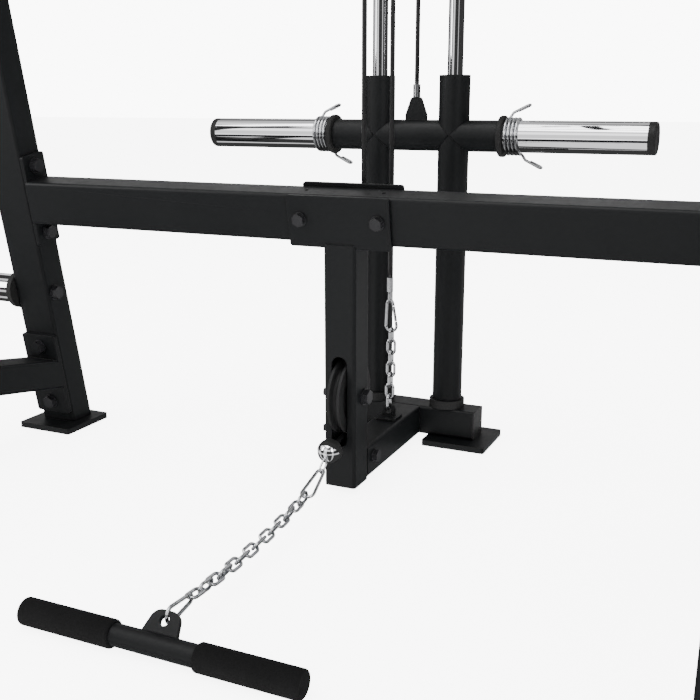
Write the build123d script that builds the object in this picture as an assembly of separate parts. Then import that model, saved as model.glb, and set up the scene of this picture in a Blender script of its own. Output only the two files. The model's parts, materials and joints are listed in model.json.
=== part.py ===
"""Plate-loaded functional trainer: two leaning side frames, cross members, a cable tower with a
weight carriage on two guide rods, a high pulley with a lat bar and a low pulley with a row bar.

Millimetres, +Z up, +X to the right, the user sits on the -Y side. The geometry is written with
Y = 0 in the plane of the guide rods; each part is then moved along Y so that the origin lies on
the floor, below the middle of the machine.
"""
from build123d import *
from math import atan2, cos, degrees, pi, radians, sin, sqrt
import os

# Side frames -------------------------------------------------------------------------------
SIDE_X = 602.0            # middle plane of each side frame
LEAN = 10.0               # rear legs lean forward and front uprights lean back, degrees
LEG_W, LEG_D = 70.0, 50.0
TUBE_WALL = 3.0
TUBE_R = 5.0              # outside corner radius of the square tubes
REAR_FOOT_Y = -196.6      # leg centre line at floor level
FRONT_FOOT_Y = -1283.0
REAR_TOP_Z, FRONT_TOP_Z = 2070.0, 2085.0
FOOT_SIZE, FOOT_T, FOOT_R = 110.0, 10.0, 4.0
FOOT_SHIFT = 12.0         # a foot plate sits this far under its leg's lean
LOW_BEAM_Z, TOP_BEAM_Z = 108.0, 1840.0   # beam centre heights at the rear leg's front face
SIDE_PLATE_L, SIDE_PLATE_T = 150.0, 8.0
SIDE_BOLT_PITCH = 106.0

# Cross members -----------------------------------------------------------------------------
BEAM_W, BEAM_H = 50.0, 70.0
LOW_CROSS_Z = 415.0
LOW_CROSS_FORWARD = 6.0   # crossbeam centre in front of the leg's centre line
TOP_CROSS_Z = 1965.0
END_PLATE_L, END_PLATE_W, END_PLATE_T = 150.0, 50.0, 6.0
END_BOLT_PITCH = 112.0

# Centre post and base ----------------------------------------------------------------------
POST = 50.0               # side of the square tubes of the tower
POST_Y = -276.5
POST_BOTTOM = 9.0
BRACKET_W, BRACKET_H, BRACKET_T = 158.0, 75.0, 5.0
BRACKET_BOLT_X = 60.0
SLOT_W, SLOT_LOW, SLOT_HIGH = 25.0, 72.0, 211.0
STUB_LENGTH, STUB_FIT = 48.0, 0.3   # stub on the post that plugs into the base beam
BASE_Z = 35.0             # centre height of the base tubes
CROSS_TUBE_HALF = 119.0
TOWER_FOOT_X = 94.0

# Guide rods and carriage -------------------------------------------------------------------
ROD_X, ROD_R = 65.0, 12.5
ROD_FIT = 0.06            # radial running clearance of the bushings
SOCKET_FIT = 0.2
ROD_TOP, ROD_BOTTOM = 1998.0, 16.0
BUMPER_R, BUMPER_H = 30.0, 14.0
SLEEVE_R, SLEEVE_WALL = 25.0, 3.0
SLEEVE_TOP = 613.0
BUSH_H = 40.0
REST_GAP = 0.3
BAR_Z, BAR_R, BAR_WALL = 518.0, 25.0, 4.0
STOP_X, STOP_R, STOP_T = 143.0, 32.5, 9.0
PEG_R, PEG_END, CAP_END = 25.0, 373.0, 385.0
GUSSET_W, GUSSET_TOP, GUSSET_T = 36.0, 579.0, 8.0

# Cables and pulleys ------------------------------------------------------------------------
CABLE_R = 3.75
PITCH_R = 53.5            # cable centre line on a pulley
PULLEY_R, PULLEY_W = 58.0, 20.0
GROOVE_FIT = 0.35
BEARING_R, AXLE_R = 16.0, 6.0
AXLE_FIT = 0.05
PULLEY_Z = 145.0
PULLEY_Y = POST_Y + 9.0
SPINE_Z = 2025.0
SPINE_BACK, SPINE_FRONT = 45.0, -985.0
SPINE_BOLT_X = 42.0
SPINE_LUG_IN, SPINE_LUG_OUT = POST / 2 - TUBE_WALL / 2, 59.0
SPINE_LUG_L, SPINE_LUG_H = 60.0, 30.0
HIGH_EXIT_Y = -740.0
FLOAT_LOW_Z, FLOAT_HIGH_Z = 1500.0, 1650.0
FLOAT_PLATE_X, FLOAT_PLATE_T, FLOAT_PLATE_W = 15.0, 4.0, 46.0
FERRULE_R = 6.0

# Anchor, chain and hooks -------------------------------------------------------------------
ANCHOR_Y = -2 * PITCH_R
CHAIN_WIRE, LINK_W = 4.4, 17.0
ANCHOR_LINKS, HANDLE_LINKS = 7, 14
HOOK_L, HOOK_WIRE, HOOK_SMALL_R, HOOK_LARGE_R = 46.0, 4.6, 5.2, 9.2
GATE_GAP = 1.2            # at each end of a hook's gate
LINK_GAP = 0.3            # play where two links, or a link and a hook, meet
CHAIN_SIDE = 3.0          # the anchor chain hangs this far to the right

# Low handle --------------------------------------------------------------------------------
BALL_Y, BALL_Z, BALL_R = -335.0, 77.0, 18.5
ROW_X, ROW_Y = 15.0, -792.0
ROW_LENGTH, ROW_TUBE_R, ROW_GRIP_R, ROW_GRIP_L = 352.0, 12.5, 16.0, 123.0
ROW_Z = ROW_GRIP_R
TAB_TILT = 42.0           # the tab leans up and back from the bar, degrees from level
TAB_H, TAB_T, TAB_BASE = 38.0, 6.0, 46.0
TAB_HOLE_R = 6.0

# High handle -------------------------------------------------------------------------------
LAT_HOOK_Z = 1880.0
LAT_HALF, LAT_TUBE_R, LAT_BEND_X, LAT_DROP = 470.0, 12.5, 330.0, 70.0
LAT_GRIP_R, LAT_GRIP_L = 16.0, 120.0

# Storage pegs ------------------------------------------------------------------------------
STORE_HEIGHTS = (254.0, 860.0)
STORE_FORWARD = 7.0       # peg axis in front of the leg's centre line
STORE_LENGTH = 210.0

BOLT_M12, BOLT_M10, HOLE_FIT = 12.0, 10.0, 0.5

c, s = cos(radians(LEAN)), sin(radians(LEAN))
REAR_UP, REAR_FRONT = Vector(0, -s, c), Vector(0, -c, -s)
FRONT_UP, FRONT_BACK = Vector(0, s, c), Vector(0, c, -s)
X, Y, Z = Vector(1, 0, 0), Vector(0, 1, 0), Vector(0, 0, 1)
SIDES = {"left": -1, "right": 1}
BIG = 900.0
SPAN = 2 * (SIDE_X - LEG_W / 2 - END_PLATE_T)
Y_SHIFT = -((FRONT_FOOT_Y + FOOT_SHIFT - FOOT_SIZE / 2) + FOOT_SIZE / 2) / 2

parts = {}


# Shapes ------------------------------------------------------------------------------------
def rod(start, end, radius, bore=0.0):
    """Round bar or tube between two points."""
    start, end = Vector(start), Vector(end)
    outline = Circle(radius)
    if bore:
        outline -= Circle(bore)
    return extrude(Plane(origin=start, z_dir=end - start) * outline, (end - start).length)


def beam(start, end, width, height, up=Z, wall=TUBE_WALL):
    """Square tube: width across, height along up."""
    start, end = Vector(start), Vector(end)
    axis = end - start
    outline = RectangleRounded(width, height, TUBE_R)
    if wall:
        outline -= RectangleRounded(width - 2 * wall, height - 2 * wall, TUBE_R - wall)
    plane = Plane(origin=start, x_dir=up.cross(axis), z_dir=axis)
    return extrude(plane * outline, axis.length)


def plate(centre, normal, up, width, height, thickness, radius=4.0):
    """Flat plate with rounded corners, built outward from the centre of its back face."""
    plane = Plane(origin=centre, x_dir=up.cross(normal), z_dir=normal)
    return extrude(plane * RectangleRounded(width, height, radius), thickness)


def trim(part, point, normal):
    """Cut away all that lies beyond a plane, on its normal's side."""
    return part - extrude(Plane(origin=point, z_dir=normal) * Rectangle(BIG, BIG), BIG)


def hole(start, end, diameter):
    return rod(start, end, diameter / 2 + HOLE_FIT)


def bolt(head_face, nut_face, diameter, tail=6.0):
    """Hex bolt, its washers and its nut; the head bears on one face and the nut on the other."""
    head_face, nut_face = Vector(head_face), Vector(nut_face)
    axis = (nut_face - head_face).normalized()
    flats, washer_t, head_t = 0.83 * diameter, 2.0, 0.62 * diameter
    seat = head_face - axis * washer_t
    head = extrude(Plane(origin=seat - axis * head_t, z_dir=axis) * hexagon(flats), head_t)
    nut_seat = nut_face + axis * washer_t
    tip = nut_seat + axis * (head_t + tail)
    nut = extrude(Plane(origin=nut_seat, z_dir=axis) * (hexagon(flats) - Circle(diameter / 2 + 0.1)), head_t)
    washers = [rod(seat, head_face, 1.05 * diameter, diameter / 2 + 0.3),
               rod(nut_face, nut_seat, 1.05 * diameter, diameter / 2 + 0.3)]
    return [head + rod(seat, tip, diameter / 2), nut, *washers]


def hexagon(flat_radius):
    return RegularPolygon(flat_radius, 6, major_radius=False)


def arc_tube(centre, radius, start_angle, sweep_angle, thickness):
    """Round bar bent around a centre in the YZ plane; angles from +Y towards +Z."""
    profile = Plane(origin=Vector(centre) + Y * radius, z_dir=Z) * Circle(thickness)
    ring = revolve(profile, Axis(centre, (1, 0, 0)), sweep_angle)
    return ring.rotate(Axis(centre, (1, 0, 0)), start_angle)


def on_wheel(centre, angle, radius=PITCH_R):
    """Point of the cable's centre line on a pulley, angle from +Y towards +Z."""
    return Vector(centre) + Y * (radius * cos(radians(angle))) + Z * (radius * sin(radians(angle)))


def wire_loop(centre, along, across, length, width, wire, open_at=None):
    """Closed oval of round wire, such as a chain link."""
    half_w = (width - wire) / 2
    half_l = (length - wire) / 2 - half_w
    centre, along, across = Vector(centre), Vector(along).normalized(), Vector(across).normalized()
    normal = along.cross(across)
    loop = None
    for end in (-1, 1):
        hub = centre + along * (half_l * end)
        profile = Plane(origin=hub + across * half_w, z_dir=along) * Circle(wire / 2)
        bend = revolve(profile, Axis(hub, normal * -end), 180)
        side = rod(centre - along * half_l + across * (half_w * end),
                   centre + along * half_l + across * (half_w * end), wire / 2)
        loop = bend + side if loop is None else loop + bend + side
    return loop


def snap_hook(small_end, large_end, across):
    """Pear-shaped hook of round wire between the seats of its two ends, and its spring gate."""
    small_end, large_end = Vector(small_end), Vector(large_end)
    along = (large_end - small_end).normalized()
    across = (Vector(across) - along * along.dot(Vector(across))).normalized()
    normal = along.cross(across)
    frame = Plane(origin=small_end, x_dir=along, z_dir=normal)
    far = (large_end - small_end).length
    r1, r2 = HOOK_SMALL_R, HOOK_LARGE_R
    first, last = r1 - HOOK_WIRE / 2, far - r2 + HOOK_WIRE / 2
    slope = (r2 - r1) / (last - first)
    tilt = sqrt(1 - slope * slope)

    def at(x, y):
        return frame.from_local_coords(Vector(x, y, 0))

    def tangent(x, r, side):
        return Vector(x - r * slope, side * r * tilt, 0)

    a_top, b_top = tangent(first, r1, 1), tangent(last, r2, 1)
    a_low, b_low = tangent(first, r1, -1), tangent(last, r2, -1)
    gap_a, gap_b = a_top + (b_top - a_top) * 0.12, a_top + (b_top - a_top) * 0.86
    path = Wire([
        Line(at(gap_a.X, gap_a.Y), at(a_top.X, a_top.Y)).edge(),
        ThreePointArc(at(a_top.X, a_top.Y), at(first - r1, 0), at(a_low.X, a_low.Y)).edge(),
        Line(at(a_low.X, a_low.Y), at(b_low.X, b_low.Y)).edge(),
        ThreePointArc(at(b_low.X, b_low.Y), at(last + r2, 0), at(b_top.X, b_top.Y)).edge(),
        Line(at(b_top.X, b_top.Y), at(gap_b.X, gap_b.Y)).edge(),
    ])
    start = at(gap_a.X, gap_a.Y)
    body = sweep(Plane(origin=start, z_dir=at(a_top.X, a_top.Y) - start) * Circle(HOOK_WIRE / 2), path=path)
    step = (b_top - a_top).normalized() * GATE_GAP
    gate_from, gate_to = gap_a + step, gap_b - step
    gate = rod(at(gate_from.X, gate_from.Y), at(gate_to.X, gate_to.Y), HOOK_WIRE / 2)
    return body, gate, start, normal


def pulley(centre):
    """Grooved pulley wheel bored for its bearing, turning about X."""
    rim = rod(Vector(centre) - X * PULLEY_W / 2, Vector(centre) + X * PULLEY_W / 2, PULLEY_R, BEARING_R + AXLE_FIT)
    groove_r = CABLE_R + GROOVE_FIT
    flare = Plane(origin=centre, x_dir=X, z_dir=-Y) * make_face(Polyline(
        (-groove_r, PITCH_R), (-groove_r - 2.4, PULLEY_R + 1), (groove_r + 2.4, PULLEY_R + 1),
        (groove_r, PITCH_R), close=True))
    round_part = Plane(origin=Vector(centre) + Z * PITCH_R, x_dir=X, z_dir=-Y) * Circle(groove_r)
    turn = Axis(centre, (1, 0, 0))
    dish = rod(Vector(centre) + X * (PULLEY_W / 2 - 3), Vector(centre) + X * PULLEY_W, PITCH_R - 11, BEARING_R + 6)
    other_dish = dish.mirror(Plane(origin=centre, z_dir=X))
    return rim - revolve(flare, turn, 360) - revolve(round_part, turn, 360) - dish - other_dish


def bearing(centre):
    return rod(Vector(centre) - X * PULLEY_W / 2, Vector(centre) + X * PULLEY_W / 2, BEARING_R, AXLE_R + AXLE_FIT)


def add(name, *pieces):
    """Store a named part made of one or more solids."""
    solids = []
    for piece in pieces:
        solids += list(piece.solids()) if not isinstance(piece, (list, tuple)) else [
            x for item in piece for x in item.solids()]
    parts[name] = parts.get(name, []) + solids


def rear_at(x, z):
    """Point of a rear leg's centre line at height z."""
    return Vector(x, REAR_FOOT_Y - z * s / c, z)


def front_at(x, z):
    return Vector(x, FRONT_FOOT_Y + z * s / c, z)


# Frame joints ------------------------------------------------------------------------------
bolts = []
for side, sign in SIDES.items():
    x = sign * SIDE_X
    inner, outer = x - sign * LEG_W / 2, x + sign * LEG_W / 2
    for centre, up in ((rear_at(x, LOW_CROSS_Z), REAR_UP), (rear_at(x, TOP_CROSS_Z), REAR_UP),
                       (front_at(x, TOP_CROSS_Z), FRONT_UP)):
        for end in (-1, 1):
            p = centre + up * (END_BOLT_PITCH / 2 * end)
            inside = Vector(inner - sign * END_PLATE_T, p.Y, p.Z)
            outside = Vector(outer, p.Y, p.Z)
            bolts.append((inside, outside, BOLT_M12))
    for height in (LOW_BEAM_Z, TOP_BEAM_Z):
        rear_face = rear_at(x, height) + REAR_FRONT * (LEG_D / 2)
        front_face = front_at(x, 0) + FRONT_BACK * (LEG_D / 2)
        run = (rear_face - front_face).dot(FRONT_BACK)
        front_face = rear_face - FRONT_BACK * run
        for end in (-1, 1):
            p = rear_face + REAR_UP * (SIDE_BOLT_PITCH / 2 * end)
            bolts.append((p + REAR_FRONT * SIDE_PLATE_T, p - REAR_FRONT * LEG_D, BOLT_M12))
            p = front_face + FRONT_UP * (SIDE_BOLT_PITCH / 2 * end)
            bolts.append((p + FRONT_BACK * SIDE_PLATE_T, p - FRONT_BACK * LEG_D, BOLT_M12))
        beam_solid = beam(rear_face + FRONT_BACK * 60, front_face - FRONT_BACK * 60, LEG_W, POST, up=FRONT_UP)
        beam_solid = trim(beam_solid, rear_face + REAR_FRONT * SIDE_PLATE_T / 2, -REAR_FRONT)
        beam_solid = trim(beam_solid, front_face + FRONT_BACK * SIDE_PLATE_T / 2, -FRONT_BACK)
        beam_solid += plate(rear_face, REAR_FRONT, REAR_UP, LEG_W, SIDE_PLATE_L, SIDE_PLATE_T)
        beam_solid += plate(front_face, FRONT_BACK, FRONT_UP, LEG_W, SIDE_PLATE_L, SIDE_PLATE_T)
        name = "low_side_beams" if height == LOW_BEAM_Z else "top_side_beams"
        for b in bolts[-4:]:
            beam_solid -= hole(*b)
        add(name, beam_solid)

# Storage pegs are each held by one bolt through the rear leg
store_bolts = []
for side, sign in SIDES.items():
    for height in STORE_HEIGHTS:
        at_leg = rear_at(sign * SIDE_X, height) + REAR_FRONT * STORE_FORWARD
        out = X * sign
        root = at_leg + out * (LEG_W / 2)
        inside = at_leg - out * (LEG_W / 2)
        start = root + out * STOP_T
        end = start + out * STORE_LENGTH
        store_bolts.append((inside, start, BOLT_M12))
        seat = rod(start, start + out * 12, PEG_R - 3.0) - hole(inside, start + out * 20, BOLT_M12)
        add("storage_pegs", rod(start, end, PEG_R, PEG_R - 3.0), seat)
        add("storage_flanges", rod(root, start, STOP_R, BOLT_M12 / 2 + HOLE_FIT))
        add("end_plugs", rod(end - out * 14, end, PEG_R - 3.05) + rod(end, end + out * 5, PEG_R))
        head = extrude(Plane(origin=inside - out * 9.5, z_dir=out) * hexagon(0.83 * BOLT_M12), 7.5)
        washer = rod(inside - out * 2, inside, 1.05 * BOLT_M12, BOLT_M12 / 2 + 0.3)
        add("frame_bolts", head + rod(inside - out * 2, start + out * 12, BOLT_M12 / 2), washer)

# Legs and uprights -------------------------------------------------------------------------
for side, sign in SIDES.items():
    x = sign * SIDE_X
    for name, place, up, top, foot_y in (
            ("rear_leg", rear_at, REAR_UP, REAR_TOP_Z, REAR_FOOT_Y - FOOT_SHIFT),
            ("front_upright", front_at, FRONT_UP, FRONT_TOP_Z, FRONT_FOOT_Y + FOOT_SHIFT)):
        leg = beam(place(x, -30), place(x, top), LEG_D, LEG_W, up=X)
        leg = trim(leg, Vector(x, place(x, 0).Y, FOOT_T), -Z)
        for b in bolts:
            middle = (b[0] + b[1]) / 2
            near = place(x, middle.Z)
            if abs(middle.X - x) < LEG_W and abs(middle.Y - near.Y) < LEG_D:
                leg -= hole(*b)
        if name == "rear_leg":
            for b in store_bolts:
                if b[0].X * sign > 0:
                    leg -= hole(*b)
        add(f"{name}_{side}", leg)
        foot = plate(Vector(x, foot_y, 0), Z, Y, FOOT_SIZE, FOOT_SIZE, FOOT_T, FOOT_R)
        add("foot_plates", foot)
        plug_base = place(x, top)
        plug = extrude(Plane(origin=plug_base - up * 12, x_dir=X, z_dir=up)
                       * RectangleRounded(LEG_W - 2 * TUBE_WALL - 0.4, LEG_D - 2 * TUBE_WALL - 0.4, 2), 12)
        plug += extrude(Plane(origin=plug_base, x_dir=X, z_dir=up) * RectangleRounded(LEG_W, LEG_D, TUBE_R), 4)
        add("end_plugs", plug)

# Cross members -----------------------------------------------------------------------------
cross_centre = rear_at(0, LOW_CROSS_Z) + REAR_FRONT * LOW_CROSS_FORWARD
bracket_bolts = []
for end in (-1, 1):
    p = cross_centre + X * (BRACKET_BOLT_X * end)
    reach = REAR_FRONT * (BEAM_W / 2 + BRACKET_T)
    bracket_bolts.append((p + reach, p - reach, BOLT_M10))


def cross_member(centre, up, leg_centre, leg_up):
    """Tube across the machine with a bolted end plate on each leg."""
    half = X * (SPAN / 2)
    tube = beam(centre - half, centre + half, BEAM_W, BEAM_H, up=up)
    for sign in (-1, 1):
        at_leg = Vector(sign * SPAN / 2, leg_centre.Y, leg_centre.Z)
        end_plate = plate(at_leg, X * sign, leg_up, END_PLATE_W, END_PLATE_L, END_PLATE_T)
        for end in (-1, 1):
            p = at_leg + leg_up * (END_BOLT_PITCH / 2 * end)
            end_plate -= hole(p - X * 20, p + X * 20, BOLT_M12)
        tube += end_plate
    return tube


low_cross = cross_member(cross_centre, REAR_UP, rear_at(0, LOW_CROSS_Z), REAR_UP)
for b in bracket_bolts:
    low_cross -= hole(*b)
    mark = Vector(b[0].X, cross_centre.Y, cross_centre.Z)
    low_cross -= rod(mark + REAR_UP * 20, mark + REAR_UP * 50, 3.0)
add("lower_crossbeam", low_cross)
rear_cross_centre, front_cross_centre = rear_at(0, TOP_CROSS_Z), front_at(0, TOP_CROSS_Z)
spine_bolts = []
for centre, leg_up in ((rear_cross_centre, REAR_UP), (front_cross_centre, FRONT_UP)):
    top_cross = cross_member(centre, Z, centre, leg_up)
    for end in (-1, 1):
        p = centre + X * (SPINE_BOLT_X * end)
        b = (p + Z * (BEAM_H / 2 + BRACKET_T), p - Z * (BEAM_H / 2), BOLT_M10)
        spine_bolts.append(b)
        top_cross -= hole(*b)
    add("top_crossbeams", top_cross)

# Centre post -------------------------------------------------------------------------------
post_top = cross_centre.Z + BEAM_H
post = beam(Vector(0, POST_Y, POST_BOTTOM), Vector(0, POST_Y, post_top), POST, POST, up=Y)
post -= beam(cross_centre - X * 200, cross_centre + X * 200, BEAM_W, BEAM_H, up=REAR_UP, wall=0)
post = trim(post, cross_centre - REAR_UP * (BEAM_H / 2), REAR_UP)
slot = Plane(origin=Vector(0, POST_Y, (SLOT_LOW + SLOT_HIGH) / 2), x_dir=Z, z_dir=Y) * SlotOverall(
    SLOT_HIGH - SLOT_LOW, SLOT_W)
post -= extrude(slot, POST, both=True)
front_face = cross_centre + REAR_FRONT * (BEAM_W / 2) - REAR_UP * ((BRACKET_H - BEAM_H) / 2)
back_face = cross_centre - REAR_FRONT * (BEAM_W / 2) + REAR_UP * ((BRACKET_H - BEAM_H) / 2)
front_plate = plate(front_face, REAR_FRONT, REAR_UP, BRACKET_W, BRACKET_H, BRACKET_T)
back_plate = plate(back_face, -REAR_FRONT, REAR_UP, BRACKET_W, BRACKET_H, BRACKET_T)
post += front_plate
stub_side = POST - 2 * TUBE_WALL - 2 * STUB_FIT
stub_root = Vector(0, POST_Y + POST / 2 - TUBE_WALL / 2, BASE_Z)
post += beam(stub_root, stub_root + Y * STUB_LENGTH, stub_side, stub_side)
stub_bolt = (Vector(POST / 2, POST_Y + POST / 2 + 23, BASE_Z + 4),
             Vector(-POST / 2, POST_Y + POST / 2 + 23, BASE_Z + 4), BOLT_M10)
axle_centre = Vector(0, PULLEY_Y, PULLEY_Z)
low_axle = (axle_centre + X * (POST / 2), axle_centre - X * (POST / 2), 2 * AXLE_R)
for b in bracket_bolts + [stub_bolt, low_axle]:
    post -= hole(*b)
for b in bracket_bolts:
    back_plate -= hole(*b)
add("centre_post", post)
add("bracket_rear_plate", back_plate)

# Base --------------------------------------------------------------------------------------
base = beam(Vector(0, POST_Y + POST / 2, BASE_Z), Vector(0, -POST / 2, BASE_Z), POST, POST)
base -= hole(*stub_bolt)
add("base_beam", base)
cross_tube = beam(Vector(-CROSS_TUBE_HALF, 0, BASE_Z), Vector(CROSS_TUBE_HALF, 0, BASE_Z), POST, POST)
for sign in (-1, 1):
    x = sign * ROD_X
    cross_tube -= rod(Vector(x, 0, BASE_Z), Vector(x, 0, BASE_Z + POST), ROD_R + SOCKET_FIT)
    add("foot_plates", plate(Vector(sign * TOWER_FOOT_X, 0, 0), Z, Y, FOOT_SIZE, FOOT_SIZE, FOOT_T, FOOT_R))
    add("guide_rods", chamfer(rod(Vector(x, 0, ROD_BOTTOM), Vector(x, 0, ROD_TOP), ROD_R).edges(), 1.0))
    bumper = rod(Vector(x, 0, BASE_Z + POST / 2), Vector(x, 0, BASE_Z + POST / 2 + BUMPER_H), BUMPER_R,
                 ROD_R + SOCKET_FIT)
    add("bumpers", bumper)
    cap = Vector(sign * CROSS_TUBE_HALF, 0, BASE_Z)
    inner_side = POST - 2 * TUBE_WALL - 0.4
    plug = extrude(Plane(origin=cap - X * sign * 12, x_dir=Y, z_dir=X * sign)
                   * RectangleRounded(inner_side, inner_side, 1.6), 12)
    plug += extrude(Plane(origin=cap, x_dir=Y, z_dir=X * sign) * RectangleRounded(POST, POST, TUBE_R), 3)
    add("end_plugs", plug)
add("rear_cross_tube", cross_tube)

# Anchor ear on the base beam
base_top = BASE_Z + POST / 2
ear = plate(Vector(0, ANCHOR_Y, base_top), Z, Y, 34, 40, 4)
EAR_T, EAR_R, EAR_HOLE_R, EAR_HOLE_Z = 5.0, 11.0, 5.5, 10.0
upright = Plane(origin=Vector(0, ANCHOR_Y + EAR_T / 2, base_top + 4), x_dir=X, z_dir=-Y) * (
    Pos(0, EAR_HOLE_Z / 2) * Rectangle(2 * EAR_R, EAR_HOLE_Z) + Pos(0, EAR_HOLE_Z) * Circle(EAR_R)
    - Pos(0, EAR_HOLE_Z) * Circle(EAR_HOLE_R))
add("anchor_bracket", ear + extrude(upright, EAR_T))

# Top spine ---------------------------------------------------------------------------------
top_wheels = [Vector(0, -PITCH_R, SPINE_Z), Vector(0, ANCHOR_Y * 2 - PITCH_R, SPINE_Z),
              Vector(0, HIGH_EXIT_Y + PITCH_R, SPINE_Z)]
spine = beam(Vector(0, SPINE_BACK, SPINE_Z), Vector(0, SPINE_FRONT, SPINE_Z), POST, POST)
top_axles = []
for centre in top_wheels:
    window = Plane(origin=centre, x_dir=Y, z_dir=Z) * SlotOverall(2 * PULLEY_R + 20, SLOT_W)
    spine -= extrude(window, POST, both=True)
    axle = (centre + X * (POST / 2), centre - X * (POST / 2), 2 * AXLE_R)
    top_axles.append(axle)
    spine -= hole(*axle)
for centre in (rear_cross_centre, front_cross_centre):
    seat_z = SPINE_Z - POST / 2
    for sign in (-1, 1):
        foot = Pos(sign * (SPINE_LUG_IN + SPINE_LUG_OUT) / 2, centre.Y, seat_z + BRACKET_T / 2) * Box(
            SPINE_LUG_OUT - SPINE_LUG_IN, SPINE_LUG_L, BRACKET_T)
        wing = Pos(sign * (SPINE_LUG_IN + BRACKET_T / 2 + 1), centre.Y, seat_z + SPINE_LUG_H / 2) * Box(
            BRACKET_T + 2, SPINE_LUG_L, SPINE_LUG_H)
        spine += foot + wing
for b in spine_bolts:
    spine -= hole(*b)
add("top_spine", spine)
for end_y, out in ((SPINE_BACK, Y), (SPINE_FRONT, -Y)):
    cap = Vector(0, end_y, SPINE_Z)
    plug = extrude(Plane(origin=cap - out * 12, x_dir=X, z_dir=out)
                   * RectangleRounded(inner_side, inner_side, 1.6), 12)
    plug += extrude(Plane(origin=cap, x_dir=X, z_dir=out) * RectangleRounded(POST, POST, TUBE_R), 3)
    add("end_plugs", plug)

# Plate that holds the rod tops under the spine
plate_t = 8.0
rod_plate = plate(Vector(0, 0, SPINE_Z - POST / 2 - plate_t), Z, Y, 2 * ROD_X + 60, 70, plate_t)
window = Plane(origin=Vector(0, -20, SPINE_Z - POST / 2 - plate_t), z_dir=Z) * RectangleRounded(SLOT_W, 70, 4)
rod_plate -= extrude(window, plate_t)
for sign in (-1, 1):
    x = sign * ROD_X
    rod_plate -= rod(Vector(x, 0, 1900), Vector(x, 0, 2100), ROD_R + SOCKET_FIT)
    socket_top = SPINE_Z - POST / 2 - plate_t
    rod_plate += rod(Vector(x, 0, socket_top - 30), Vector(x, 0, socket_top), ROD_R + 7, ROD_R + SOCKET_FIT)
add("rod_top_plate", rod_plate)

# Fasteners ---------------------------------------------------------------------------------
for b in bolts:
    add("frame_bolts", *bolt(*b))
for b in bracket_bolts + spine_bolts + [stub_bolt]:
    add("frame_bolts", *bolt(*b))
for b in [low_axle] + top_axles:
    add("pulley_axles", *bolt(*b))
    for sign in (-1, 1):
        near = (b[0] + b[1]) / 2
        add("pulley_axles", rod(near + X * (sign * (PULLEY_W / 2 + 0.4)),
                                near + X * (sign * (POST / 2 - TUBE_WALL)), 10, AXLE_R + 0.1))

# Pulleys -----------------------------------------------------------------------------------
add("low_pulley", pulley(axle_centre))
for name, centre in zip(("rear_top_pulley", "middle_top_pulley", "front_top_pulley"), top_wheels):
    add(name, pulley(centre))
for centre in [axle_centre, *top_wheels]:
    add("pulley_bearings", bearing(centre))

# Floating double pulley --------------------------------------------------------------------
float_y = ANCHOR_Y - PITCH_R
float_wheels = [Vector(0, float_y, FLOAT_LOW_Z), Vector(0, float_y, FLOAT_HIGH_Z)]
cheek_l = FLOAT_HIGH_Z - FLOAT_LOW_Z + FLOAT_PLATE_W
middle = (float_wheels[0] + float_wheels[1]) / 2
for sign in (-1, 1):
    cheek = plate(middle + X * (sign * FLOAT_PLATE_X), X * sign, Z, FLOAT_PLATE_W, cheek_l, FLOAT_PLATE_T, 20)
    for centre in float_wheels:
        cheek -= hole(centre - X * 50, centre + X * 50, 2 * AXLE_R)
    add("floating_bracket", cheek)
for name, centre in zip(("floating_lower_pulley", "floating_upper_pulley"), float_wheels):
    outer = FLOAT_PLATE_X + FLOAT_PLATE_T
    add("floating_bracket", *bolt(centre + X * outer, centre - X * outer, 2 * AXLE_R, tail=3.0))
    for sign in (-1, 1):
        add("floating_bracket", rod(centre + X * (sign * (PULLEY_W / 2 + 0.4)), centre + X * (sign * FLOAT_PLATE_X),
                                    10, AXLE_R + 0.1))
    add(name, pulley(centre))
    add("floating_bearings", bearing(centre))
add("floating_bracket", rod(middle - X * FLOAT_PLATE_X, middle + X * FLOAT_PLATE_X, 8))

# Carriage ----------------------------------------------------------------------------------
sleeve_bottom = base_top + BUMPER_H + REST_GAP
bar = rod(Vector(-STOP_X, 0, BAR_Z), Vector(STOP_X, 0, BAR_Z), BAR_R, BAR_R - BAR_WALL)
for sign in (-1, 1):
    x = sign * ROD_X
    foot, head = Vector(x, 0, sleeve_bottom), Vector(x, 0, SLEEVE_TOP)
    bar -= rod(foot, head, SLEEVE_R)
    add("carriage_sleeves", rod(foot, head, SLEEVE_R, SLEEVE_R - SLEEVE_WALL))
    for low in (foot, head - Z * BUSH_H):
        add("sleeve_bushings", rod(low, low + Z * BUSH_H, SLEEVE_R - SLEEVE_WALL, ROD_R + ROD_FIT))
    stop, tip = Vector(sign * STOP_X, 0, BAR_Z), Vector(sign * PEG_END, 0, BAR_Z)
    peg_root = stop + X * (sign * STOP_T)
    add("plate_stops", fillet(rod(stop, peg_root, STOP_R).edges(), 2.5))
    add("weight_pegs", rod(peg_root, tip, PEG_R, PEG_R - 3.0))
    cap = rod(tip - X * (sign * 14), tip, PEG_R - 3.05)
    dome = rod(tip, Vector(sign * CAP_END, 0, BAR_Z), PEG_R)
    dome = fillet(dome.edges().group_by(Axis.X)[-1 if sign > 0 else 0], 3.0)
    add("weight_peg_caps", cap + dome)
gusset_outline = make_face(Polyline(
    (-GUSSET_W / 2, BAR_R - 8), (-GUSSET_W / 2, BAR_R + 8), (-8, GUSSET_TOP - BAR_Z), (8, GUSSET_TOP - BAR_Z),
    (GUSSET_W / 2, BAR_R + 8), (GUSSET_W / 2, BAR_R - 8), close=True))
gusset = extrude(Plane(origin=Vector(0, GUSSET_T / 2, BAR_Z), x_dir=X, z_dir=-Y) * gusset_outline, GUSSET_T)
gusset = fillet(gusset.edges().filter_by(Axis.Y).group_by(Axis.Z)[-1], 6)
gusset = fillet(gusset.edges().filter_by(Axis.Y).group_by(Axis.Z)[1], 5)
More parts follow.
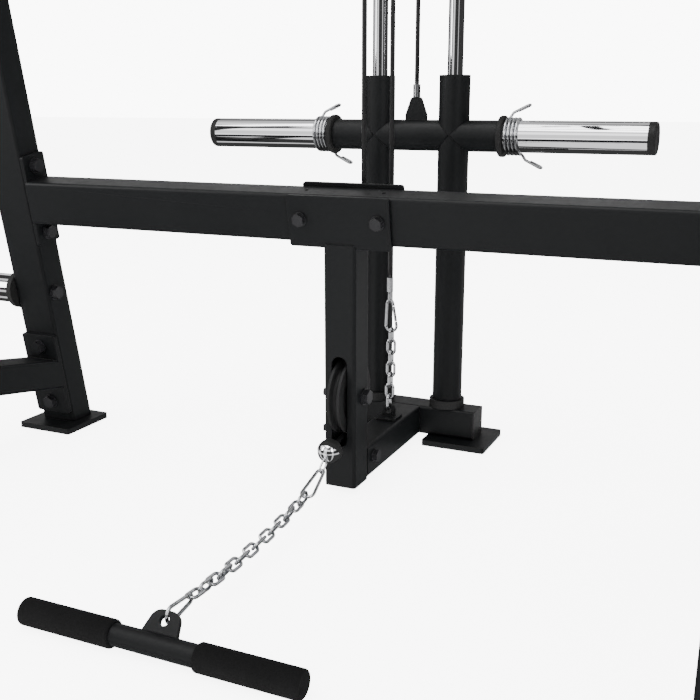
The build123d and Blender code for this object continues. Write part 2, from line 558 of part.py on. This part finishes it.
gusset -= rod(Vector(-50, 0, BAR_Z), Vector(50, 0, BAR_Z), BAR_R)
add("carriage_crossbar", bar)
add("carriage_crossbar", gusset)
ferrule_foot, ferrule_top = GUSSET_TOP, GUSSET_TOP + 20.0
add("carriage_ferrule", rod(Vector(0, 0, ferrule_foot), Vector(0, 0, ferrule_top), FERRULE_R))

# Spring clips ------------------------------------------------------------------------------
CLIP_WIRE, CLIP_TURNS, CLIP_PITCH, CLIP_GAP = 4.6, 3.5, 6.0, 0.3
for side, sign in SIDES.items():
    coil_r = PEG_R + CLIP_GAP + CLIP_WIRE / 2
    start_x = sign * (STOP_X + STOP_T) + (CLIP_WIRE / 2 + 1.0) * sign
    width = CLIP_TURNS * CLIP_PITCH
    low_x = start_x if sign > 0 else start_x - width
    coil = Helix(CLIP_PITCH, width, coil_r, center=(low_x, 0, BAR_Z), direction=(1, 0, 0))
    begin, finish = coil.edge() @ 0, coil.edge() @ 1
    begin_dir, finish_dir = coil.edge() % 0, coil.edge() % 1
    profile = Plane(origin=begin, z_dir=begin_dir) * Circle(CLIP_WIRE / 2)
    add(f"spring_clip_{side}", sweep(profile, path=Wire([coil.edge()]), is_frenet=True))
    for point, direction in ((begin, -begin_dir), (finish, finish_dir)):
        out = Vector(0, point.Y, point.Z - BAR_Z).normalized()
        first = point + direction * 9
        knee = first + out * 9 + X * 6
        tip = knee + out * 12 + X * 24
        turn = tip + direction * 9 + X * 2
        back = turn - X * 20 - out * 9
        lever = FilletPolyline(point, first, knee, tip, turn, back, radius=4.0)
        edge = Wire(lever.edges())
        add(f"spring_clip_{side}", sweep(Plane(origin=point, z_dir=direction) * Circle(CLIP_WIRE / 2), path=edge))

# Cables ------------------------------------------------------------------------------------
rear_wheel, middle_wheel, front_wheel = top_wheels
low_float, high_float = float_wheels
add("carriage_cable", rod(Vector(0, 0, ferrule_top), on_wheel(rear_wheel, 0), CABLE_R))
add("high_cable_runs", rod(on_wheel(high_float, 0), on_wheel(rear_wheel, 180), CABLE_R),
    rod(on_wheel(high_float, 180), on_wheel(middle_wheel, 0), CABLE_R))
anchor_ferrule_top, anchor_ferrule_low = 297.0, 274.0
add("low_cable_anchor_run", rod(Vector(0, ANCHOR_Y, anchor_ferrule_top), on_wheel(low_float, 0), CABLE_R))
add("low_cable_post_run", rod(on_wheel(axle_centre, 0), on_wheel(low_float, 180), CABLE_R))
add("fixed_cable_wraps", arc_tube(rear_wheel, PITCH_R, 0, 180, CABLE_R))
lat_ferrule_top = LAT_HOOK_Z + 55.0
add("fixed_cable_wraps", arc_tube(middle_wheel, PITCH_R, 0, 90, CABLE_R)
    + rod(on_wheel(middle_wheel, 90), on_wheel(front_wheel, 90), CABLE_R)
    + arc_tube(front_wheel, PITCH_R, 90, 90, CABLE_R)
    + rod(on_wheel(front_wheel, 180), Vector(0, HIGH_EXIT_Y, lat_ferrule_top), CABLE_R))
ball = Vector(0, BALL_Y, BALL_Z)
to_ball = ball - axle_centre
reach = to_ball.length
exit_angle = degrees(atan2(to_ball.Z, to_ball.Y)) + degrees(atan2(sqrt(reach ** 2 - PITCH_R ** 2), PITCH_R))
exit_point = on_wheel(axle_centre, exit_angle)
wrap = exit_angle % 360 - 360
add("fixed_cable_wraps", arc_tube(axle_centre, PITCH_R, 0, wrap, CABLE_R))
cable_dir = (ball - exit_point).normalized()
ball_back = ball - cable_dir * (BALL_R - 1)
add("low_cable_front", rod(exit_point, ball_back, CABLE_R))
add("floating_cable_wraps", arc_tube(low_float, PITCH_R, 0, 180, CABLE_R),
    arc_tube(high_float, PITCH_R, 180, 180, CABLE_R))

# Ball stop: rubber ball with a chrome cup in front and a steel eye
eye_dir = Vector(0, -0.83, -0.56).normalized()
sphere = Pos(ball.X, ball.Y, ball.Z) * Sphere(BALL_R)
cup_plane = ball + eye_dir * 3.0
rubber = trim(sphere, cup_plane, eye_dir) - rod(ball, ball - cable_dir * 40, CABLE_R + 0.05)
cup = trim(Pos(ball.X, ball.Y, ball.Z) * Sphere(BALL_R - 0.6), cup_plane, -eye_dir)
EYE_L, EYE_W, EYE_WIRE = 25.0, 16.5, 3.2
eye_centre = ball + eye_dir * (BALL_R + EYE_L / 2 - 4.0)
eye = wire_loop(eye_centre, eye_dir, eye_dir.cross(X), EYE_L, EYE_W, EYE_WIRE)
add("cable_ball_stop", rubber)
add("ball_cup", cup + eye)

# Handle chain ------------------------------------------------------------------------------
eye_end = eye_centre + eye_dir * (EYE_L / 2 - EYE_WIRE / 2)
CHAIN_START, CHAIN_SAG, TWIST = Vector(0.7, -413.8, 37.4), 7.4, 40.0
tab_dir = Vector(0, cos(radians(TAB_TILT)), sin(radians(TAB_TILT)))
row_centre = Vector(ROW_X, ROW_Y, ROW_Z)
tab_hole = row_centre + tab_dir * (TAB_H - 11.5)
hook1_dir = (CHAIN_START - eye_end).normalized()
hook1_small = eye_end - hook1_dir * (EYE_WIRE / 2 + 2 * LINK_GAP)
hook1_body, hook1_gate, gate1_pin, gate1_axis = snap_hook(hook1_small, CHAIN_START, X)
hook2_wire = tab_hole + tab_dir * (TAB_HOLE_R - HOOK_WIRE / 2 - LINK_GAP)
hook2_dir = (hook2_wire - CHAIN_START).normalized()
hook2_small = hook2_wire - hook2_dir * (HOOK_L + HOOK_WIRE / 2)
hook2_body, hook2_gate, gate2_pin, gate2_axis = snap_hook(hook2_small, hook2_small + hook2_dir * HOOK_L,
                                                          hook2_dir.cross(X))
add("handle_chain", hook1_body)
add("handle_upper_gate", hook1_gate)
add("handle_lower_gate", hook2_gate)
pitch = (CHAIN_START - hook2_small).length / HANDLE_LINKS
link_l = pitch + 2 * (CHAIN_WIRE + LINK_GAP)
first_link = CHAIN_START + (hook2_small - CHAIN_START).normalized() * (pitch / 2)
last_link = hook2_small + (CHAIN_START - hook2_small).normalized() * (pitch / 2)
for i in range(HANDLE_LINKS):
    u = i / (HANDLE_LINKS - 1)
    centre = first_link * (1 - u) + last_link * u - Z * (CHAIN_SAG * 4 * u * (1 - u))
    along = (last_link - first_link) - Z * (CHAIN_SAG * 4 * (1 - 2 * u))
    level = X - along.normalized() * X.dot(along.normalized())
    over = along.normalized().cross(level.normalized())
    roll = radians(90 * (i % 2) + TWIST * sin(pi * u))
    across = over * cos(roll) + level.normalized() * sin(roll)
    add("handle_chain", wire_loop(centre, along, across, link_l, LINK_W, CHAIN_WIRE))

# Row bar -----------------------------------------------------------------------------------
tube = rod(row_centre - X * (ROW_LENGTH / 2 - 3), row_centre + X * (ROW_LENGTH / 2 - 3), ROW_TUBE_R, ROW_TUBE_R - 2.5)
tab_plane = Plane(origin=row_centre, x_dir=X, z_dir=X.cross(tab_dir))
outline = make_face(Polyline((-TAB_BASE / 2, ROW_TUBE_R - 3), (-16, TAB_H), (16, TAB_H),
                             (TAB_BASE / 2, ROW_TUBE_R - 3), close=True))
tab = extrude(tab_plane * outline, TAB_T / 2, both=True)
tab = fillet(tab.edges().filter_by(lambda e: abs((e % 0).dot(tab_plane.z_dir)) > 0.99).sort_by(
    lambda e: (e.center() - row_centre).dot(tab_dir))[-2:], 13)
tab -= rod(tab_hole - tab_plane.z_dir * 20, tab_hole + tab_plane.z_dir * 20, TAB_HOLE_R)
tab -= rod(row_centre - X * 60, row_centre + X * 60, ROW_TUBE_R)
add("row_bar", tube, tab, hook2_body)
for sign in (-1, 1):
    grip_in = row_centre + X * (sign * (ROW_LENGTH / 2 - ROW_GRIP_L))
    grip_out = row_centre + X * (sign * ROW_LENGTH / 2)
    grip = rod(grip_in, grip_out, ROW_GRIP_R)
    grip = fillet(grip.edges(), 3.0)
    add("row_bar_grips", grip - rod(row_centre - X * (ROW_LENGTH / 2 - 3), row_centre + X * (ROW_LENGTH / 2 - 3),
                                    ROW_TUBE_R))

# Lat bar -----------------------------------------------------------------------------------
lat_eye = Vector(0, HIGH_EXIT_Y, LAT_HOOK_Z)
lat_tab_hole = lat_eye - Z * 33.0
lat_centre = lat_tab_hole - Z * 34.0
bend, tip = X * LAT_BEND_X, X * LAT_HALF - Z * LAT_DROP
path = FilletPolyline(lat_centre - X * LAT_HALF - Z * LAT_DROP, lat_centre - bend, lat_centre + bend, lat_centre + tip,
                      radius=90.0)
lat_start = lat_centre - X * LAT_HALF - Z * LAT_DROP
lat_profile = Plane(origin=lat_start, z_dir=(X * (LAT_HALF - LAT_BEND_X) + Z * LAT_DROP)) * Circle(LAT_TUBE_R)
lat_tube = sweep(lat_profile, path=Wire(path.edges()))
lat_tab = extrude(Plane(origin=lat_centre + Y * 3, x_dir=X, z_dir=-Y) * (
    make_face(Polyline((-22, 8), (-12, 44), (12, 44), (22, 8), close=True)) - Pos(0, 34) * Circle(6)), 6)
lat_tab -= rod(lat_centre - X * 60, lat_centre + X * 60, LAT_TUBE_R)
quick_link = wire_loop((lat_eye + lat_tab_hole) / 2, Z, Y, 33 + 2 * 5.0 + 5.0, 22.0, 5.0)
add("lat_bar", lat_tube, lat_tab, quick_link)
for sign in (-1, 1):
    outward = Vector(sign * (LAT_HALF - LAT_BEND_X), 0, -LAT_DROP).normalized()
    end = lat_centre + Vector(sign * LAT_HALF, 0, -LAT_DROP)
    grip_in = end - outward * LAT_GRIP_L
    add("lat_bar_grips", rod(grip_in, end, LAT_GRIP_R, LAT_TUBE_R) + rod(end, end + outward * 4, LAT_GRIP_R))
lat_loop = wire_loop(lat_eye + Z * 12.0, Z, X, 34.0, 14.0, 3.0)
lat_ferrule = rod(Vector(0, HIGH_EXIT_Y, LAT_HOOK_Z + 30.0), Vector(0, HIGH_EXIT_Y, lat_ferrule_top), FERRULE_R)
add("cable_ferrules", lat_ferrule, lat_loop - lat_ferrule)

# Anchor end of the low cable ---------------------------------------------------------------
anchor_ferrule = rod(Vector(0, ANCHOR_Y, anchor_ferrule_low), Vector(0, ANCHOR_Y, anchor_ferrule_top), 5.0)
eye_low = wire_loop(Vector(0, ANCHOR_Y, anchor_ferrule_low - 8.0), Z, Y, 24.0, 13.0, 3.0)
add("cable_ferrules", anchor_ferrule, eye_low - anchor_ferrule)
loop_end = anchor_ferrule_low - 8.0 - 12.0 + 1.5
hook_high = Vector(0, ANCHOR_Y, loop_end + 1.5 + LINK_GAP)
hook_low = hook_high - Z * HOOK_L + X * CHAIN_SIDE
hook3_body, hook3_gate, gate3_pin, gate3_axis = snap_hook(hook_high, hook_low, X)
add("anchor_chain", hook3_body)
add("anchor_gate", hook3_gate)
ear_seat = base_top + 4 + EAR_HOLE_Z + EAR_HOLE_R - 3 * LINK_GAP
step = (hook_low.Z - ear_seat) / ANCHOR_LINKS
chain_top = hook_low.Z - step / 2
anchor_link_l = step + 2 * (CHAIN_WIRE + LINK_GAP)
for i in range(ANCHOR_LINKS):
    centre = Vector(CHAIN_SIDE * (1 - (i / (ANCHOR_LINKS - 1)) ** 3), ANCHOR_Y, chain_top - step * i)
    across = Y if i % 2 == 0 else X
    add("anchor_chain", wire_loop(centre, Z, across, anchor_link_l, LINK_W, CHAIN_WIRE))

# Export ------------------------------------------------------------------------------------
os.makedirs("parts", exist_ok=True)
for name, solids in parts.items():
    shape = solids[0] if len(solids) == 1 else Compound(solids)
    shape = shape.moved(Location((0, Y_SHIFT, 0)))
    shape.label = name
    export_step(shape, f"parts/{name}.step")
print(len(parts), "parts; origin", round(Y_SHIFT, 3), "mm in front of the rods")
print("chain pitch", round((first_link - last_link).length / (HANDLE_LINKS - 1), 2), "anchor", round(step, 2))
print("chain pivot", [round(v, 2) for v in eye_end + Y * Y_SHIFT])
print("row pivot", [round(v, 2) for v in hook2_small + Y * Y_SHIFT])
for label, point, axis in (("upper gate", gate1_pin, gate1_axis), ("lower gate", gate2_pin, gate2_axis),
                           ("anchor gate", gate3_pin, gate3_axis)):
    print(label, [round(v, 2) for v in point + Y * Y_SHIFT], [round(v, 4) for v in axis])
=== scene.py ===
import json
from math import cos, pi, radians, sin

import bpy
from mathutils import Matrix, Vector


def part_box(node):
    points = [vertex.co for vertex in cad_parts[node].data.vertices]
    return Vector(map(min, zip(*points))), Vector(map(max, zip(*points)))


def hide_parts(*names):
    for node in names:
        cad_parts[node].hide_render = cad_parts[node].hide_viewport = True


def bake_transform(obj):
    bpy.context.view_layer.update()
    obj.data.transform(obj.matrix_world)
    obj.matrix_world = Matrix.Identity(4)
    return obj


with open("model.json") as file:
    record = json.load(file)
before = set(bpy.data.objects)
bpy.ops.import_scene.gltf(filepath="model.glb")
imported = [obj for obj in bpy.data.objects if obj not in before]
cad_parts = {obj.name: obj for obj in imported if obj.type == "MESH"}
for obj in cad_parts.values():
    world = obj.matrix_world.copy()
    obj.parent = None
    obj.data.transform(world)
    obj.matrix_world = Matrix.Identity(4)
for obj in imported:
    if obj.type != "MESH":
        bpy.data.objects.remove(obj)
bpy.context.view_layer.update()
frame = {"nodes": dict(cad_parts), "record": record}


# Shader maths -------------------------------------------------------------------------------

class Sock:
    """A node's output that can be used in plain arithmetic."""

    def __init__(self, tree, out):
        self.tree, self.out = tree, out

    def math(self, op, *others):
        node = self.tree.nodes.new("ShaderNodeMath")
        node.operation = op
        for socket, value in zip(node.inputs, (self, *others)):
            put(self.tree, value, socket)
        return Sock(self.tree, node.outputs[0])

    def __add__(self, other):
        return self.math("ADD", other)

    def __sub__(self, other):
        return self.math("SUBTRACT", other)

    def __rsub__(self, other):
        return (self * -1.0).math("ADD", other)

    def __mul__(self, other):
        return self.math("MULTIPLY", other)

    __radd__, __rmul__ = __add__, __mul__

    def ramp(self, low, high):
        """0 below low, 1 above high, smooth between them."""
        node = self.tree.nodes.new("ShaderNodeMapRange")
        node.interpolation_type = "SMOOTHSTEP"
        for key, value in (("Value", self), ("From Min", low), ("From Max", high)):
            put(self.tree, value, node.inputs[key])
        return Sock(self.tree, node.outputs["Result"])


def put(tree, value, socket):
    if isinstance(value, Sock):
        tree.links.new(value.out, socket)
    else:
        socket.default_value = value


class Finish:
    """One procedural material."""

    def __init__(self, name):
        self.mat = bpy.data.materials.new(name)
        self.mat.use_nodes = True
        self.tree = self.mat.node_tree
        self.shader = self.tree.nodes["Principled BSDF"]
        self.place = self.node("ShaderNodeTexCoord", "Object")

    def node(self, kind, out, props=None, **inputs):
        node = self.tree.nodes.new(kind)
        for key, value in (props or {}).items():
            setattr(node, key, value)
        for key, value in inputs.items():
            put(self.tree, value, node.inputs[key.replace("_", " ")])
        return Sock(self.tree, node.outputs[out])

    def noise(self, scale, detail=3.0, rough=0.55, at=None):
        return self.node("ShaderNodeTexNoise", "Fac", Vector=at or self.place, Scale=scale,
                         Detail=detail, Roughness=rough)

    def split(self, vector):
        node = self.tree.nodes.new("ShaderNodeSeparateXYZ")
        put(self.tree, vector, node.inputs[0])
        return [Sock(self.tree, out) for out in node.outputs]

    def join(self, x, y, z):
        return self.node("ShaderNodeCombineXYZ", "Vector", X=x, Y=y, Z=z)

    def mix(self, dark, light, amount):
        node = self.tree.nodes.new("ShaderNodeMix")
        node.data_type = "RGBA"
        put(self.tree, amount, node.inputs[0])
        for socket, value in ((node.inputs[6], dark), (node.inputs[7], light)):
            put(self.tree, value if isinstance(value, Sock) else (*value, 1.0), socket)
        return Sock(self.tree, node.outputs[2])

    def bump(self, height, distance, strength=1.0, rounded=0.0):
        inputs = {"Height": height, "Distance": distance, "Strength": strength}
        if rounded:
            inputs["Normal"] = self.node("ShaderNodeBevel", "Normal", {"samples": 4}, Radius=rounded)
        return self.node("ShaderNodeBump", "Normal", **inputs)

    def set(self, **inputs):
        for key, value in inputs.items():
            if key == "Base_Color" and not isinstance(value, Sock):
                value = (*value, 1.0)
            put(self.tree, value, self.shader.inputs[key.replace("_", " ")])
        return self.mat


def powder_coat():
    """Satin black powder coat: orange peel, faint cloudiness, a painted reflection that lightens top faces in
    patches, and lighter patches towards the floor.
    """
    m = Finish("black_powder_coat")
    peel = m.noise(620.0, 2.0)
    fine = m.noise(2600.0, 1.0)
    cloud = m.noise(5.0, 4.0)
    up = m.split(m.node("ShaderNodeNewGeometry", "Normal"))[2].ramp(0.55, 1.0)
    # Painted reflection: upward-facing faces get lighter noisy patches in place of reflections on the top
    # faces.
    painted_top_reflection = up * m.noise(46.0, 5.0, 0.7).ramp(0.35, 0.8)
    # Lighter noisy patches towards the floor.
    low = 1.0 - m.split(m.place)[2].ramp(0.0, 0.35)
    # Mask that lightens the paint and roughens it: the painted top-face reflection plus the patches towards
    # the floor.
    painted_reflection_and_low_patches = (painted_top_reflection * 0.55 + low * m.noise(24.0, 5.0, 0.7).ramp(0.5, 0.95) * 0.35).math("MINIMUM", 1.0)
    paint = m.mix((0.0012, 0.0014, 0.0016), (0.0026, 0.0029, 0.0032), cloud)
    return m.set(Base_Color=m.mix(paint, (0.008, 0.008, 0.008), painted_reflection_and_low_patches * 0.25),
                 Roughness=0.36 + cloud * 0.10 + painted_reflection_and_low_patches * 0.14, Specular_IOR_Level=0.17,
                 Normal=m.bump(peel + fine * 0.25, 0.00012, 0.55, 0.0012))


def chrome(name, tone, rough, streak=0.0):
    m = Finish(name)
    smear = m.noise(30.0, 5.0, 0.65)
    x, y, z = m.split(m.place)
    grain = m.noise(1.0, 3.0, 0.6, m.join(x * 90.0, y * 900.0, z * 900.0))
    dull = m.noise(7.0, 3.0).ramp(0.45, 0.75)
    return m.set(Base_Color=m.mix(tuple(t * 0.90 for t in tone), tone, smear), Metallic=1.0,
                 Roughness=rough + dull * rough * 0.9 + grain * streak,
                 Normal=m.bump(grain, 0.00002, 0.25 if streak else 0.04))


def zinc():
    """Bright zinc plate on formed wire, with cloudy patches and fine scratches."""
    m = Finish("zinc_steel")
    cloud = m.noise(160.0, 4.0)
    scratch = m.noise(900.0, 2.0, 0.7).ramp(0.56, 0.74)
    return m.set(Base_Color=m.mix((0.34, 0.35, 0.37), (0.72, 0.72, 0.73), cloud), Metallic=1.0,
                 Roughness=0.08 + cloud * 0.09 + scratch * 0.10,
                 Normal=m.bump(cloud + scratch * 0.5, 0.00006, 0.35))


def black(name, dark, light, rough, grain, depth, coat=0.0, spread=0.15):
    """Black polymer, oxide or sheath, with a moulded grain and a slight bloom."""
    m = Finish(name)
    skin = m.noise(grain, 3.0, 0.6)
    bloom = m.noise(18.0, 4.0, 0.6)
    return m.set(Base_Color=m.mix(dark, light, bloom * 0.6 + skin * 0.4),
                 Roughness=rough + (bloom - 0.5) * spread, Specular_IOR_Level=0.16,
                 Coat_Weight=coat, Coat_Roughness=0.12,
                 Normal=m.bump(skin, depth, 0.6, 0.0005))


def foam():
    """Closed-cell foam: small open cells and soft wrinkles, with no shine."""
    m = Finish("foam_grip")
    cell = m.node("ShaderNodeTexVoronoi", "Distance", Vector=m.place, Scale=900.0)
    pore = m.noise(420.0, 4.0, 0.65)
    rub = m.noise(22.0, 3.0)
    return m.set(Base_Color=m.mix((0.0012, 0.0012, 0.0013), (0.0045, 0.0045, 0.0046), rub * 0.6 + cell * 0.4),
                 Roughness=0.78 + pore * 0.12, Specular_IOR_Level=0.08, Sheen_Weight=0.0,
                 Normal=m.bump(cell * 0.7 + pore, 0.00035, 0.7))


FINISHES = {
    "black_powder_coat": powder_coat(),
    "polished_chrome": chrome("polished_chrome", (0.86, 0.86, 0.88), 0.035),
    "bearing_steel": chrome("bearing_steel", (0.62, 0.62, 0.63), 0.2, 0.15),
    "zinc_steel": zinc(),
    "black_fasteners": black("black_fasteners", (0.003, 0.003, 0.0033), (0.009, 0.009, 0.010), 0.34,
                             1500.0, 0.00005, 0.15),
    "pulley_nylon": black("pulley_nylon", (0.003, 0.003, 0.0033), (0.008, 0.008, 0.008), 0.46, 900.0,
                          0.00006),
    "black_rubber": black("black_rubber", (0.003, 0.003, 0.003), (0.009, 0.009, 0.009), 0.62, 1300.0,
                          0.00012, 0.0, 0.2),
    "black_plastic": black("black_plastic", (0.003, 0.003, 0.0033), (0.008, 0.008, 0.008), 0.42, 1100.0,
                           0.00008),
    "foam_grip": foam(),
    "cable_sheath": black("cable_sheath", (0.002, 0.002, 0.0023), (0.006, 0.006, 0.006), 0.3, 700.0,
                          0.00004, 0.3),
}

slot_of = {part["node"]: part["material_slot"] for part in frame["record"]["subparts"]}
for node, obj in frame["nodes"].items():
    obj.data.materials.clear()
    obj.data.materials.append(FINISHES[slot_of[node]])


WIRE_HOOK_WIDTH = 0.012


def bare_hook(node):
    """Zinc on the wire hook that is part of a painted node: the one solid that is thin across X."""
    mesh = frame["nodes"][node].data
    mesh.materials.append(FINISHES["zinc_steel"])
    root = list(range(len(mesh.vertices)))

    def find(i):
        while root[i] != i:
            root[i] = root[root[i]]
            i = root[i]
        return i

    first_at = {}
    for v in mesh.vertices:
        place = tuple(round(c, 6) for c in v.co)
        root[find(v.index)] = find(first_at.setdefault(place, v.index))
    for edge in mesh.edges:
        root[find(edge.vertices[0])] = find(edge.vertices[1])
    solids = {}
    for v in mesh.vertices:
        solids.setdefault(find(v.index), []).append(v.co.x)
    hooks = {key for key, xs in solids.items() if max(xs) - min(xs) < WIRE_HOOK_WIDTH}
    for face in mesh.polygons:
        face.material_index = int(find(face.vertices[0]) in hooks)


bare_hook("row_bar")


# Pieces --------------------------------------------------------------------------------------

def mesh_piece(name, verts, faces, slot):
    mesh = bpy.data.meshes.new(name)
    mesh.from_pydata([tuple(v) for v in verts], [], faces)
    mesh.polygons.foreach_set("use_smooth", [True] * len(faces))
    mesh.update()
    obj = bpy.data.objects.new(name, mesh)
    bpy.context.scene.collection.objects.link(obj)
    mesh.materials.append(FINISHES[slot])
    return obj


def tube(name, path, radius, slot, around=20):
    """Closed round tube through the points of path."""
    tangents = [(path[min(i + 1, len(path) - 1)] - path[max(i - 1, 0)]).normalized()
                for i in range(len(path))]
    side = tangents[0].orthogonal().normalized()
    verts, faces = [], []
    for p, t in zip(path, tangents):
        side = (side - t * side.dot(t)).normalized()
        up = t.cross(side)
        verts += [p + (side * cos(2 * pi * k / around) + up * sin(2 * pi * k / around)) * radius
                  for k in range(around)]
    for i in range(len(path) - 1):
        a, b = i * around, (i + 1) * around
        faces += [(a + k, a + (k + 1) % around, b + (k + 1) % around, b + k) for k in range(around)]
    faces.append(tuple(reversed(range(around))))
    faces.append(tuple(range(len(verts) - around, len(verts))))
    return mesh_piece(name, verts, faces, slot)


def line(start, end, count):
    start, end = Vector(start), Vector(end)
    return [start.lerp(end, i / (count - 1)) for i in range(count)]


def upright_run(node, name, upper_first=True, count=60):
    """An upright cable run that stretches between the frame and the body that pulls it."""
    low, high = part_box(node)
    r = (high.x - low.x) / 2
    x, y = (low.x + high.x) / 2, (low.y + high.y) / 2
    top, bottom = (x, y, high.z), (x, y, low.z)
    start, end = (top, bottom) if upper_first else (bottom, top)
    obj = tube(name, line(start, end, count), r, "cable_sheath")
    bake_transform(obj)
    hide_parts(node)


upright_run("carriage_cable", "carriage_cable_run")
upright_run("low_cable_anchor_run", "anchor_cable_run", False)
upright_run("low_cable_post_run", "post_cable_run", False)


def handle_run():
    """The low cable from its wheel down to the ball stop."""
    low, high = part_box("low_cable_front")
    r = (high.x - low.x) / 2
    wheel_end, ball_end = (0.0, high.y, high.z - r), (0.0, low.y, low.z + r)
    obj = tube("handle_cable_run", line(wheel_end, ball_end, 40), r, "cable_sheath")
    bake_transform(obj)
    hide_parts("low_cable_front")


handle_run()


# Stage ---------------------------------------------------------------------------------------

def stage_material(name, colour, rough, glow):
    m = Finish(name)
    tone = tuple(c * 0.985 for c in colour)
    return m.set(Base_Color=m.mix(tone, colour, m.noise(0.8, 2.0)), Roughness=rough,
                 Emission_Color=(1.0, 1.0, 1.0, 1.0), Emission_Strength=glow)


bpy.ops.mesh.primitive_plane_add(size=60.0, location=(0, 0, 0))
floor = bpy.context.object
floor.name = "studio_floor"
floor.data.materials.append(stage_material("studio_floor", (0.95, 0.95, 0.95), 0.65, 6.0))
floor.visible_glossy = False

SKY_LIGHT, BACKDROP_LIGHT = 2.2, 12.0


def panel(value, middle, half, soft=0.03):
    """1 inside a band of directions, 0 outside it."""
    off = (value - middle).math("ABSOLUTE")
    return 1.0 - off.ramp(half - soft, half + soft)


def studio_world():
    """Even white light, a white backdrop for the camera, and bright panels that only shiny surfaces see."""
    world = bpy.data.worlds.new("studio")
    bpy.context.scene.world = world
    world.use_nodes = True
    tree = world.node_tree
    sky = tree.nodes["Background"]
    sky.inputs["Color"].default_value = (1.0, 1.0, 1.0, 1.0)
    sky.inputs["Strength"].default_value = SKY_LIGHT
    backdrop = tree.nodes.new("ShaderNodeBackground")
    backdrop.inputs["Strength"].default_value = BACKDROP_LIGHT
    mirrored = tree.nodes.new("ShaderNodeBackground")

    direction = tree.nodes.new("ShaderNodeTexCoord")
    parts = tree.nodes.new("ShaderNodeSeparateXYZ")
    tree.links.new(direction.outputs["Generated"], parts.inputs[0])
    dx, dy, dz = (Sock(tree, out) for out in parts.outputs)
    side = dx.math("ARCTAN2", 0.0 - dy)
    rows = panel(dz, 0.42, 0.12) * 1.3 + panel(dz, -0.22, 0.10) * 0.9 + panel(dz, 0.86, 0.09) * 0.7
    columns = panel(side, -0.35, 0.28) * 1.2 + panel(side, 0.95, 0.12) * 0.8 + panel(side, -1.35, 0.16) * 0.9
    shade = tree.nodes.new("ShaderNodeCombineColor")
    for socket in shade.inputs[:3]:
        put(tree, rows + columns + 0.05, socket)
    tree.links.new(shade.outputs[0], mirrored.inputs["Color"])

    paths = tree.nodes.new("ShaderNodeLightPath")
    surface = sky.outputs[0]
    for kind, other in (("Is Glossy Ray", mirrored), ("Is Camera Ray", backdrop)):
        choice = tree.nodes.new("ShaderNodeMixShader")
        tree.links.new(paths.outputs[kind], choice.inputs[0])
        tree.links.new(surface, choice.inputs[1])
        tree.links.new(other.outputs[0], choice.inputs[2])
        surface = choice.outputs[0]
    tree.links.new(surface, tree.nodes["World Output"].inputs["Surface"])


studio_world()


def softbox(name, place, aim, size, power, shape=(1.0, 1.0), shine=1.0):
    data = bpy.data.lights.new(name, "AREA")
    data.shape, data.size, data.size_y, data.energy = "RECTANGLE", size * shape[0], size * shape[1], power
    data.specular_factor = shine
    obj = bpy.data.objects.new(name, data)
    bpy.context.scene.collection.objects.link(obj)
    obj.location = place
    obj.rotation_euler = (Vector(aim) - Vector(place)).to_track_quat("-Z", "Y").to_euler()
    return obj


softbox("top_light", (-0.6, -0.8, 4.2), (0, 0.3, 0.3), 3.4, 170, shine=0.05)
softbox("left_light", (-3.6, -2.2, 2.2), (0, 0.2, 0.5), 2.2, 90, (0.6, 1.3))
softbox("right_light", (3.4, -2.6, 2.6), (0, 0.2, 0.5), 2.0, 60, (0.6, 1.3))

camera_data = bpy.data.cameras.new("camera")
camera_data.lens, camera_data.sensor_width = 50.0, 36.0
camera = bpy.data.objects.new("camera", camera_data)
bpy.context.scene.collection.objects.link(camera)
camera.location = (0.5808, -0.9055, 0.571)
camera.rotation_euler = (radians(90 - 14.31), 0.0, radians(24.45))
bpy.context.scene.camera = camera
